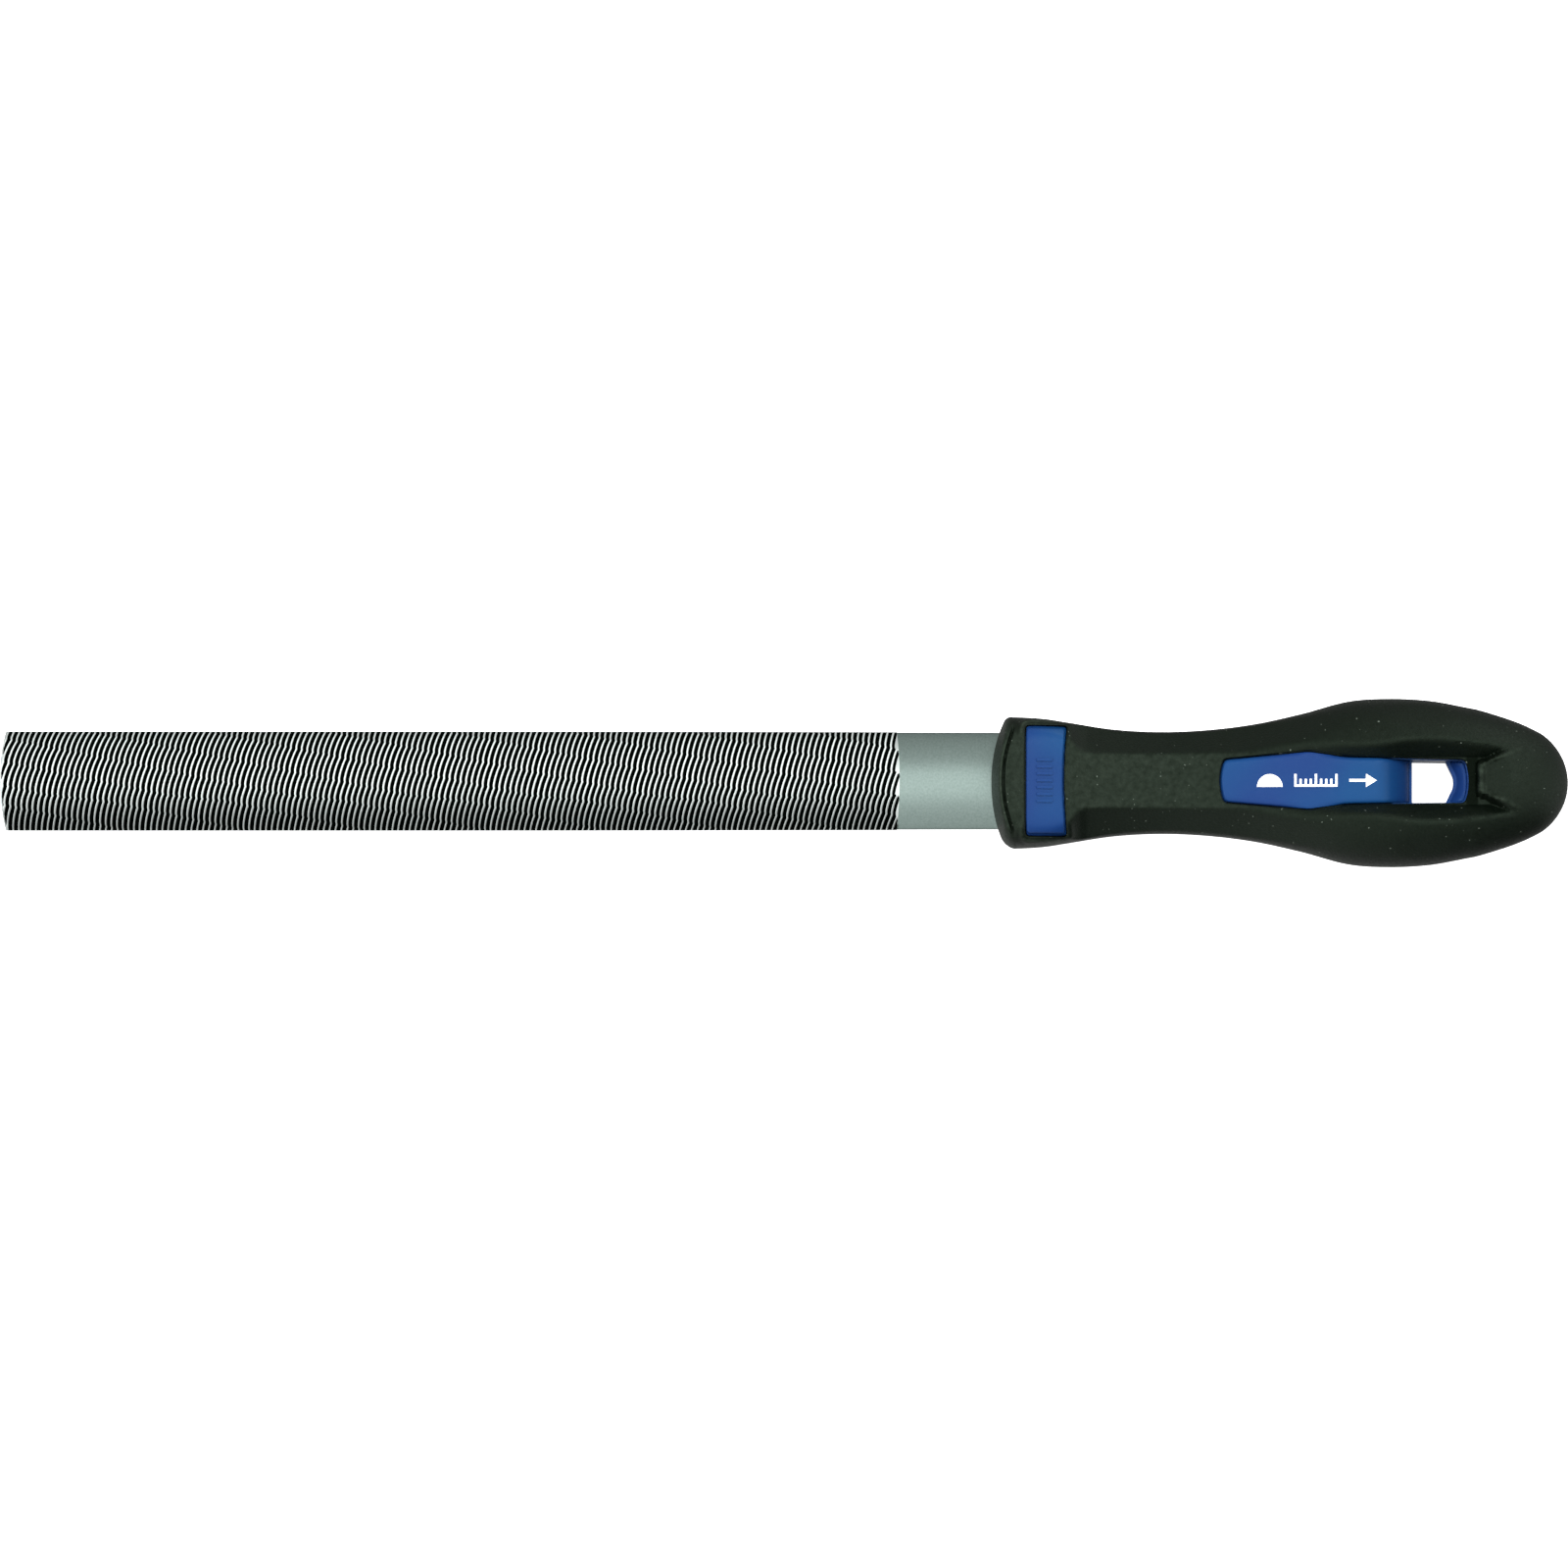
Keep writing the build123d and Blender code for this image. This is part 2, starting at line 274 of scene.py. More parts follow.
def zip_faces(a, a_along, b, b_along):
    """Triangles between two lines of vertex numbers, each with its places along the line."""
    faces = []
    i = j = 0
    while i < len(a) - 1 or j < len(b) - 1:
        step_a = j == len(b) - 1 or (i < len(a) - 1 and a_along[i + 1] <= b_along[j + 1])
        if step_a:
            faces.append((a[i], a[i + 1], b[j]))
            i += 1
        else:
            faces.append((a[i], b[j + 1], b[j]))
            j += 1
    return faces


def make_object(name, points, faces):
    """A mesh object of points in millimetres, with its normals outwards."""
    mesh = bpy.data.meshes.new(name)
    mesh.from_pydata(put_down(points).tolist(), [], [list(face) for face in faces])
    bm = bmesh.new()
    bm.from_mesh(mesh)
    bmesh.ops.recalc_face_normals(bm, faces=bm.faces)
    bm.to_mesh(mesh)
    bm.free()
    made = bpy.data.objects.new(name, mesh)
    bpy.context.scene.collection.objects.link(made)
    return made


def weld(mesh, distance):
    """Joins vertices that lie within the distance, in millimetres, of each other."""
    bm = bmesh.new()
    bm.from_mesh(mesh)
    bmesh.ops.remove_doubles(bm, verts=bm.verts, dist=distance * MM)
    bmesh.ops.recalc_face_normals(bm, faces=bm.faces)
    bm.to_mesh(mesh)
    bm.free()


def keep_values(mesh, name, values):
    """Keeps a value for each vertex on the mesh, for its material."""
    kept = mesh.attributes.new(name, "FLOAT", "POINT")
    kept.data.foreach_set("value", values)


def combine(base, tool, operation):
    """base joined with, cut by or kept inside tool, which is then removed."""
    modifier = base.modifiers.new("combine", "BOOLEAN")
    modifier.operation = operation
    modifier.object = tool
    modifier.solver = "MANIFOLD"
    depsgraph = bpy.context.evaluated_depsgraph_get()
    result = bpy.data.meshes.new_from_object(base.evaluated_get(depsgraph))
    base.modifiers.clear()
    base.data = result
    bpy.data.objects.remove(tool)


def smooth_shade(piece, angle):
    """Smooth shading, with edges sharper than the angle left crisp."""
    piece.data.shade_smooth()
    piece.data.set_sharp_from_angle(angle=math.radians(angle))


def finish_piece(piece, material):
    """Gives the piece its material and makes it ride on the tool's one body."""
    piece.data.materials.clear()
    piece.data.materials.append(material)
    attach(piece, "root")


# ---------------------------------------------------------------- outlines seen from above

def arc_points(start, middle, end, count):
    """Points on the circle through three points, without its start and end."""
    (ax, ay), (bx, by), (cx, cy) = start, middle, end
    d = 2 * (ax * (by - cy) + bx * (cy - ay) + cx * (ay - by))
    a2, b2, c2 = ax**2 + ay**2, bx**2 + by**2, cx**2 + cy**2
    ux = (a2 * (by - cy) + b2 * (cy - ay) + c2 * (ay - by)) / d
    uy = (a2 * (cx - bx) + b2 * (ax - cx) + c2 * (bx - ax)) / d
    radius = math.hypot(ax - ux, ay - uy)
    first = math.atan2(ay - uy, ax - ux)
    turn = math.remainder(math.atan2(cy - uy, cx - ux) - first, 2 * math.pi)
    angles = [first + turn * i / (count + 1) for i in range(1, count + 1)]
    return [(ux + radius * math.cos(a), uy + radius * math.sin(a)) for a in angles]


def rounded(outline, radii, steps=8):
    """A closed outline with each corner replaced by an arc-like curve of its own reach."""
    result = []
    for i, corner in enumerate(outline):
        reach = radii[i]
        if not reach:
            result.append(corner)
            continue
        before, after = Vector(outline[i - 1]), Vector(outline[(i + 1) % len(outline)])
        corner = Vector(corner)
        start = corner + (before - corner).normalized() * reach
        end = corner + (after - corner).normalized() * reach
        for k in range(steps + 1):
            t = k / steps
            result.append(tuple(start * (1 - t) ** 2 + corner * 2 * t * (1 - t) + end * t**2))
    return result


def front_window(gap=0.0):
    """The window near the blade, drawn in by gap."""
    start, end = FRONT_WINDOW_START_X + gap, FRONT_WINDOW_END_X - gap
    side = FRONT_WINDOW_HALF_WIDTH - gap
    bow = arc_points((end, -side), (end - FRONT_WINDOW_HOLLOW, 0), (end, side), 15)
    outline = [(end, side), (start, side), (start, -side), (end, -side)] + bow
    return rounded(outline, [WINDOW_ROUNDING] * 4 + [0] * len(bow))


def rear_window(gap=0.0):
    """The long window that takes in the hanging hole, drawn in by gap."""
    above = [(x, y - gap) for x, y in REAR_WINDOW]
    above[0] = (above[0][0] + gap, above[0][1])
    above[-1] = (above[-1][0] - gap, above[-1][1])
    below = [(x, -y) for x, y in reversed(above)]
    rear = arc_points(above[-1], (above[-1][0] + REAR_WINDOW_BULGE, 0), below[0], 9)
    front = arc_points(below[-1], (above[0][0] - REAR_WINDOW_BULGE, 0), above[0], 9)
    radii = [WINDOW_ROUNDING, 1.0, 1.5, WINDOW_ROUNDING]
    rounding = radii + [0] * len(rear) + radii[::-1] + [0] * len(front)
    return rounded(above + rear + below + front, rounding)


def hanging_hole(grow=0.0):
    """The hole through the core, straight in front and curved behind, grown all round."""
    start, side_end, end = HOLE_START_X - grow, HOLE_SIDE_END_X, HOLE_END_X + grow
    side = HOLE_HALF_WIDTH + grow
    outline = [(side_end, side), (start, side), (start, -side), (side_end, -side)]
    outline += [(end, -HOLE_END_HALF), (end, HOLE_END_HALF)]
    return rounded(outline, [0.4, 0.4, 0.4, 0.4, 0.8, 0.8])


def prism(outline, low=-FAR, high=FAR):
    """A closed prism of an outline seen from above."""
    n = len(outline)
    points = [(x, y, low) for x, y in outline] + [(x, y, high) for x, y in outline]
    faces = [(i, (i + 1) % n, n + (i + 1) % n, n + i) for i in range(n)]
    faces += [tuple(range(n)), tuple(range(n, 2 * n))]
    return make_object("tool", points, faces)


def outline_distance(outline, x, y):
    """Distance of each (x, y) from a closed outline, negative inside it."""
    nearest = np.full(x.shape, np.inf)
    inside = np.zeros(x.shape, dtype=bool)
    for (ax, ay), (bx, by) in zip(outline, outline[1:] + outline[:1]):
        ex, ey = bx - ax, by - ay
        t = np.clip(((x - ax) * ex + (y - ay) * ey) / max(ex * ex + ey * ey, 1e-12), 0, 1)
        nearest = np.minimum(nearest, np.hypot(x - ax - t * ex, y - ay - t * ey))
        if ay != by:
            crosses = ((ay > y) != (by > y)) & (x < ex * (y - ay) / ey + ax)
            inside ^= crosses
    return np.where(inside, -nearest, nearest)


# ---------------------------------------------------------------- blade

def arc_radius(drop):
    """Radius of the rounded side, lowered all round by drop."""
    side, rise = BLADE_HALF - drop, 2 * BLADE_HALF_THICK - EDGE_THICKNESS - 2 * drop
    return (side**2 + rise**2) / (2 * rise)


def arc_height(y, drop):
    """Height of the rounded side, lowered all round by drop."""
    radius = arc_radius(drop)
    return BLADE_HALF_THICK - drop - radius + np.sqrt(np.maximum(radius**2 - y**2, 0))


def cut_end_line(y):
    """Where the cut ends at y."""
    return CUT_END_X + CUT_END_BOW * (1 - (y / BLADE_HALF) ** 2)


def tip_line(y):
    """Where the bowed tip ends at y."""
    return TIP_X + TIP_BULGE * (y / BLADE_HALF) ** 2


def profile_share(profile, place):
    """How deep the profile is at a place counted in pitches, from 0 on a crest to 1 in a gullet."""
    places = [p for p, _ in profile] + [1.0]
    depths = [d for _, d in profile] + [profile[0][1]]
    return np.interp(place % 1, places, depths)


def tooth_rows(profile, start, end, pitch):
    """Places of the grid's rows, counted in pitches, from start to end."""
    first, last = math.floor(start / pitch), math.ceil(end / pitch)
    return np.array([n + p for n in range(first, last) for p, _ in profile])


def course_wave(x, y):
    """How far its course moves a row along X at (x, y), and the course's number."""
    places = np.linspace(0, 1, COURSE_SAMPLES)
    slopes = np.interp(places, *zip(*COURSE_SLOPES))
    run = np.cumsum((slopes[1:] + slopes[:-1]) / 2 / (COURSE_SAMPLES - 1))
    run = np.concatenate([[0], run])
    run = run - run[-1] * places
    edge = COURSE_EDGE_X - COURSE_RUN * y
    edge = edge + COURSE_STEP * smooth_step((COURSE_STEP_Y - y) / COURSE_STEP_WIDTH)
    place = (x - edge) / COURSE_PITCH
    number = np.floor(place)
    return np.interp(place - number, places, run) * COURSE_PITCH / COURSE_RUN, number


def clip_teeth(x, y, share):
    """Ends the teeth at the tip and at the cut's end."""
    low, high = tip_line(y) + TIP_ROUND, cut_end_line(y)
    share = share * smooth_step((x - low) / TOOTH_FADE)
    return np.clip(x, low, high), np.where((x < low) | (x > high), 0, share)


def round_side():
    """Grid of the rounded side's teeth: its points and how deep each lies in a gullet, with painted
    shade added along the -Y edge.
    """
    radius = arc_radius(0)
    reach = math.asin(BLADE_HALF / radius)
    y = radius * np.sin(np.linspace(-reach, reach, TOOTH_SAMPLES_ROUND))[None, :]
    lean = TOOTH_LEAN * BLADE_HALF
    rows = tooth_rows(TOOTH_PROFILE, TIP_X - lean - 1, CUT_END_X + lean + 2, TOOTH_PITCH)[:, None]
    straight = rows * TOOTH_PITCH + TOOTH_LEAN * y
    straight = straight + ROW_CURVE[0] * (straight - ROW_CURVE[1]) * y**2
    bend, course = course_wave(straight, y)
    x = straight + bend
    y = y + 0 * x
    # A course's last gullet is whole, so the rows past the cut's end drop out course by course
    row_start = np.floor(rows) * TOOTH_PITCH
    middle = COURSE_PITCH * (course + 0.5) + COURSE_EDGE_X - row_start
    middle = middle / (TOOTH_LEAN + COURSE_RUN)
    kept = row_start + TOOTH_LEAN * middle < CUT_END_X - LAST_ROW_SHARE * TOOTH_PITCH
    x, share = clip_teeth(x, y, profile_share(TOOTH_PROFILE, rows + 0 * x) * kept)
    crest = arc_height(y, 0)
    depth = share * np.minimum(GULLET_DEPTH, EDGE_DEPTH_SHARE * (crest + BLADE_HALF_THICK))
    centre = BLADE_HALF_THICK - radius
    inward = 1 - depth / radius
    grid = np.stack([x, y * inward, centre + (crest - centre) * inward], -1)
    # Painted shade: along the -Y edge the gullets' dark colour reaches a little further up the crests;
    # the shape stays the same.
    edge_shade = EDGE_SHADE_SHARE * smooth_step((EDGE_SHADE_Y - y) / EDGE_SHADE_WIDTH) * (share > 0)
    return grid, share + edge_shade


def flat_side():
    """Grid of the flat side's crossed teeth: its points and how much painted shade each place takes.
    """
    y = np.linspace(-BLADE_HALF, BLADE_HALF, TOOTH_SAMPLES_FLAT)[None, :]
    lean = FLAT_LEAN * BLADE_HALF
    rows = tooth_rows(FLAT_PROFILE, TIP_X - lean - 1, CUT_END_X + lean + 2, FLAT_PITCH)[:, None]
    x = rows * FLAT_PITCH + FLAT_LEAN * y
    y = y + 0 * x
    across = (x - CROSS_LEAN * y) / CROSS_PITCH
    first = profile_share(FLAT_PROFILE, rows + 0 * x)
    second = profile_share(FLAT_PROFILE, across)
    x, share = clip_teeth(x, y, np.maximum(first, CROSS_SHARE * second))
    # The teeth fade out before the cut's end and towards the edges
    share = share * smooth_step((cut_end_line(y) - 0.3 - x) / 0.8)
    share = share * smooth_step((BLADE_HALF - np.abs(y)) / 0.6)
    grid = np.stack([x, y, -BLADE_HALF_THICK + share * FLAT_DEPTH], -1)
    return grid, FLAT_GULLET_SHADE * share


def plain_rows(samples, upper):
    """Grid of the heel, the shoulders and the tang on one side of the blade."""
    share = np.linspace(-1, 1, samples)
    rows = []
    shoulder = [SHOULDER_X + (TANG_ROOT_X - SHOULDER_X) * k / 6 for k in range(7)]
    for x in [CUT_END_X, CUT_END_X + 0.3, CUT_END_X + 4, *HEEL_ROWS, *shoulder]:
        half = BLADE_HALF - CREST_RISE
        if x > SHOULDER_X:
            turn = (x - SHOULDER_X) / (TANG_ROOT_X - SHOULDER_X)
            half = half - (half - TANG_ROOT_HALF) * (1 - math.sqrt(1 - turn**2))
        y = half * share
        flat = np.full(samples, CREST_RISE - BLADE_HALF_THICK)
        z = arc_height(y, CREST_RISE) if upper else flat
        # The first two rows step down from the teeth, along the cut's curved end
        bow = cut_end_line(y) - CUT_END_X + 0.05 if x < CUT_END_X + 1 else 0 * y
        rows.append(np.stack([x + bow, y, z], -1))
    for x, half, rise in (
        (TANG_ROOT_X + 0.2, TANG_ROOT_HALF, TANG_ROOT_RISE),
        (TANG_END_X - 0.5, TANG_END_HALF, TANG_END_RISE),
        (TANG_END_X, TANG_END_HALF - 0.5, TANG_END_RISE - 0.5),
    ):
        z = TANG_Z + (rise if upper else -rise)
        rows.append(np.stack([np.full(samples, x), half * share, np.full(samples, z)], -1))
    return np.array(rows)


def tip_rows(upper_line, lower_line):
    """The tip's end face: two lines that stand a little further out than the two sides' edges."""
    rows = []
    for line, step in ((upper_line, -TIP_ROUND), (lower_line, TIP_ROUND)):
        row = line.copy()
        row[:, 0] -= TIP_ROUND
        row[:, 1] *= 1 - TIP_ROUND / BLADE_HALF
        row[:, 2] += step
        rows.append(row)
    return rows


def numbered(parts):
    """The vertex numbers of each part, one part after another in the same mesh."""
    numbers = []
    first = 0
    for part in parts:
        count = math.prod(part.shape[:-1])
        numbers.append(first + np.arange(count).reshape(part.shape[:-1]))
        first += count
    return numbers


def blade_faces(upper, lower, end_up, end_low):
    """Faces of the two sides, the edges and both ends, and the vertex numbers of the parts."""
    up, low, tip_up, tip_low = numbers = numbered((upper, lower, end_up, end_low))
    faces = []
    for number in (up, low):
        faces += grid_faces(*number.shape, int(number[0, 0]))
    for side in (0, -1):
        faces += zip_faces(up[:, side], upper[:, side, 0], low[:, side], lower[:, side, 0])
    faces += zip_faces(up[-1], upper[-1, :, 1], low[-1], lower[-1, :, 1])
    faces += zip_faces(up[0], upper[0, :, 1], tip_up, end_up[:, 1])
    faces += zip_faces(tip_up, end_up[:, 1], tip_low, end_low[:, 1])
    faces += zip_faces(tip_low, end_low[:, 1], low[0], lower[0, :, 1])
    for side in (0, -1):
        faces.append((up[0][side], tip_up[side], tip_low[side], low[0][side]))
    return faces, numbers


def build_blade():
    """The blade as one closed mesh, with two values on each vertex for its material.

    "gullet" says how deep in a gullet it lies, with some painted shade added along the -Y edge, and
    the material paints it as shade; "cut" is 1 on the toothed stretch.
    """
    upper, upper_share = round_side()
    lower, lower_share = flat_side()
    upper = np.concatenate([upper, plain_rows(upper.shape[1], True)])
    lower = np.concatenate([lower, plain_rows(lower.shape[1], False)])
    tip = tip_rows(upper[0], lower[0])
    faces, numbers = blade_faces(upper, lower, *tip)
    shape = np.concatenate([upper.reshape(-1, 3), lower.reshape(-1, 3), *tip])
    gullet = np.zeros(len(shape))
    gullet[:upper_share.size] = upper_share.ravel()
    first_low = numbers[1][0, 0]
    gullet[first_low:first_low + lower_share.size] = lower_share.ravel()
    on_sides = np.arange(len(shape)) < numbers[2][0]
    toothed = (shape[:, 0] < cut_end_line(shape[:, 1]) + 0.02) & on_sides

    placed = shape.copy()
    placed[:, 1] = placed[:, 1] * between(WIDTH_SHARE, placed[:, 0]) + BLADE_OFFSET
    made = make_object("blade_cut", placed, faces)
    keep_values(made.data, "gullet", gullet)
    keep_values(made.data, "cut", toothed.astype(float))
    weld(made.data, 0.0004)
    smooth_shade(made, 38)
    return made


# ---------------------------------------------------------------- handle surface

def butt_share(x):
    """How much of its width and height the handle keeps at x, as its butt rounds off."""
    past = np.maximum(x - BUTT_CENTRE_X, 0) / (HANDLE_BUTT_X - BUTT_CENTRE_X)
    return np.sqrt(np.clip(1 - past**2, 0, 1))


def half_width(x):
    return between(HALF_WIDTH, x) * butt_share(x)


def half_height(x):
    return between(HALF_HEIGHT, x) * butt_share(x)


def by_tongue(x, y):
    """How far (x, y) lies past the tongue's front and aside of its middle, and its half width."""
    past = x - TONGUE_START_X
    aside = np.abs(y - TONGUE_MIDDLE_Y)
    return past, aside, TONGUE_HALF_WIDTH + TONGUE_SPREAD * np.maximum(past - 1, 0)


def flat_height(x, y):
    """Height over the axis of the flat, the trough's sides and the tongue at the trough's end."""
    opened = smooth_step((x - TROUGH_START_X + 2) / (TROUGH_FULL_X - TROUGH_START_X + 4))
    floor = between(FLAT_LEVEL, x)
    beside = np.maximum(0, np.abs(y) - between(FLAT_HALF_WIDTH, x))
    side = floor + TROUGH_SLOPE * opened * beside
    past, aside, half = by_tongue(x, y)
    bead = TONGUE_BEAD_RISE * hump(past, TONGUE_BEAD_PAST, 0.8)
    ridge = TONGUE_RIDGE_RISE * smooth_step((aside - half + 0.9) / 0.7)
    ridge = ridge * smooth_step((past - 1.5) / 2)
    top = floor + TONGUE_RISE + bead + ridge + TONGUE_SLOPE * np.maximum(past, 0)
    drop = TONGUE_SIDE_SLOPE * np.maximum(0, aside - half)
    drop = drop + TONGUE_FRONT_SLOPE * np.maximum(0, 0.4 - past)
    return soft_max(side, top - drop, 0.35)


def facet_height(x, y):
    """Height over the axis of the facets that slope down beside the neck's flat."""
    beside = np.maximum(0, np.abs(y) - between(FLAT_HALF_WIDTH, x))
    return between(FLAT_LEVEL, x) + between(FACET_LIFT, x) - FACET_SLOPE * beside


def grown_out(x, angle, inset):
    """Points of the handle's surface at x and an angle round it, drawn in by inset."""
    wide, high = np.maximum(half_width(x) - inset, 0.01), np.maximum(half_height(x) - inset, 0.01)
    power = 2 / between(SQUARENESS, x)
    across, up = np.cos(angle), np.sin(angle)
    y = np.sign(across) * wide * np.abs(across) ** power
    z = high * np.abs(up) ** power
    z = soft_min(z, np.maximum(flat_height(x, y) - inset, 0), 0.9)
    facet = np.maximum(facet_height(x, y) - inset, 0)
    z = np.minimum(z, soft_min(z, facet, 0.8))
    return np.stack([x, y, np.sign(up) * np.maximum(z, 0)], -1)


def stations(start, end, fine_at, step=0.9):
    """Places along X from start to end, closer together near each place in fine_at."""
    fine_step, fine_reach, growth = 0.16, 0.8, 0.35
    places = [start]
    while places[-1] < end:
        gap = min(abs(places[-1] - place) for place in fine_at)
        places.append(places[-1] + min(step, fine_step + growth * max(0.0, gap - fine_reach)))
    places[-1] = end
    return places


# Where the lines of the handle's grid run: as shares of the rear window's half width, beyond
# its edge in millimetres, as shares of the way on to the front window's edge, and as shares of
# the angle left from there down to the side
LINES_INSIDE = [0, 0.2, 0.4, 0.6, 0.75, 0.86, 0.93, 0.97, 1.0]
LINES_BEYOND = [0.1, 0.2, 0.32, 0.46, 0.62, 0.8, 1.05, 1.35, 1.7, 2.1, 2.6, 3.1, 3.6, 4.2, 4.8]
LINES_BETWEEN = [0.2, 0.4, 0.58, 0.72, 0.83, 0.92, 0.97, 1.0]
LINES_OUTSIDE = [0.03, 0.06, 0.1, 0.15, 0.22, 0.32, 0.45, 0.6, 0.8, 1.0]


def line_angles(x):
    """Angles of the grid's lengthwise lines from the top's middle down to the side, for each x.

    They follow the windows' edges and are closer together there.
    """
    x = np.array(x)[:, None]
    wide, power = np.maximum(half_width(x), 0.01), 2 / between(SQUARENESS, x)
    knots = np.array(REAR_WINDOW)
    edge = np.interp(x, knots[:, 0], knots[:, 1])
    y = np.concatenate([edge * np.array(LINES_INSIDE), edge + np.array(LINES_BEYOND)], 1)
    y = y * np.minimum(1, wide / 11.6)
    by_window = np.arccos(np.clip(y / wide, 0, 1) ** (1 / power))
    front_edge = np.arccos(np.clip(FRONT_WINDOW_HALF_WIDTH / wide, 0, 1) ** (1 / power))
    settled = smooth_step((x - FRONT_WINDOW_END_X) / 8)
    front_edge = front_edge * (1 - settled) + math.radians(26) * settled
    last = by_window[:, -1:]
    between_edges = last + (front_edge - last) * np.array(LINES_BETWEEN)
    outside = front_edge * (1 - np.array(LINES_OUTSIDE))
    return np.concatenate([by_window, between_edges, outside], 1)


def full_turn(quarter):
    """The lines' angles all round from those of one quarter, starting at the top's middle."""
    half = np.concatenate([quarter, -quarter[:, -2::-1]], 1)
    return np.concatenate([half, math.pi - half[:, -2:0:-1]], 1)


def front_dome(y, z):
    """Where the handle's slightly domed front face lies."""
    across = FRONT_DOME_ACROSS - np.sqrt(FRONT_DOME_ACROSS**2 - y**2)
    return HANDLE_FRONT_X + across + FRONT_DOME_UP - np.sqrt(FRONT_DOME_UP**2 - z**2)


def front_rings():
    """Rings over the domed front face and its rounded rim, as far as the grid's body."""
    angles = full_turn(line_angles([BODY_START_X]))
    rounding = 0.5 + 0.9 * np.cos(angles) ** 2 - 0.65 * np.cos(angles) ** 3
    face_x = 0 * angles + FRONT_FACE_X
    face = grown_out(face_x, angles, rounding)
    rings = []
    for share in (0.02, 0.15, 0.3, 0.45, 0.6, 0.75, 0.87, 0.95):
        y, z = face[..., 1] * share, face[..., 2] * share
        rings.append(np.stack([front_dome(y, z), y, z], -1))
    for k in range(7):
        bend = k / 6 * math.pi / 2
        ring = grown_out(face_x, angles, rounding * (1 - math.sin(bend)))
        ring[..., 0] = front_dome(ring[..., 1], ring[..., 2]) + rounding * (1 - math.cos(bend))
        rings.append(ring)
    rim_x = rings[-1][..., 0]
    for share in (0.03, 0.07, 0.11, 0.15, 0.19, 0.23, 0.27, 0.32, 0.38, 0.46, 0.56, 0.68, 0.8, 0.9):
        rings.append(grown_out(rim_x + (BODY_START_X - rim_x) * share, angles, 0.0))
    return rings


def handle_grid(fine_at):
    """Rings of points over the whole handle, from its front face's middle to its butt."""
    butt = HANDLE_BUTT_X - BUTT_CENTRE_X
    turns = np.linspace(math.asin((BUTT_START_X - BUTT_CENTRE_X) / butt), math.pi / 2, 26)[1:]
    xs = stations(BODY_START_X, BUTT_START_X, fine_at)
    xs = np.array(xs + list(BUTT_CENTRE_X + butt * np.sin(turns)))
    angles = full_turn(line_angles(xs))
    body = grown_out(xs[:, None] + 0 * angles, angles, 0.0)
    return np.concatenate([*front_rings(), body])


def grid_normals(grid):
    """Outward normals of a closed grid of rings."""
    along = np.gradient(grid, axis=0)
    round_it = np.roll(grid, -1, axis=1) - np.roll(grid, 1, axis=1)
    normals = np.cross(round_it, along)
    normals /= np.maximum(np.linalg.norm(normals, axis=-1, keepdims=True), 1e-9)
    outward = np.sign(np.sum(normals * grid * [0, 1, 1], -1, keepdims=True))
    return normals * np.where(outward == 0, 1, outward)


def roll_off(distance, radius):
    """How far a rounded edge of that radius falls away at a distance from it."""
    t = np.clip(radius - distance, 0, radius)
    return radius - np.sqrt(radius**2 - t**2)


def closed_grid(name, grid):
    """A closed mesh of a grid of rings, with its two ends capped."""
    rows, columns = grid.shape[:2]
    faces = grid_faces(rows, columns, closed=True)
    faces += [tuple(range(columns)), tuple((rows - 1) * columns + c for c in range(columns))]
    return make_object(name, grid.reshape(-1, 3), faces)


def grip_surface():
    """The grip's outer surface, rolled over at the windows' edges, with its grooves and welts."""
    grid = handle_grid((48.4, 49.2, 57.4, 89.5, 139.2, 141.2, 143.0))
    normals = grid_normals(grid)
    x, y = grid[..., 0], grid[..., 1]
    side = np.abs(y)
    front = outline_distance(front_window(), x, y)
    rear = outline_distance(rear_window(), x, y)
    sunk = roll_off(front, WINDOW_ROLL_FRONT) + roll_off(rear, WINDOW_ROLL_REAR)
    # The welts stand beside the window's ends, and fade before they reach the outline
    welt = smooth_step((side - 8.0) / 2.0) * smooth_step((half_width(x) - side - 0.15) / 0.8)
    sunk = sunk - WELT_RISE * welt * hump(front, WELT_PLACE, WELT_REACH)
    behind = x - front_dome(y, grid[..., 2])
    place = GROOVE_PLACE + GROOVE_BOW * np.clip(side / 10, 0, 1) ** 3
    groove = GROOVE_DEPTH * hump(behind, place, GROOVE_REACH)
    sunk = sunk + groove * smooth_step((12.2 - side) / 2.5)
    return grid - normals * sunk[..., None]


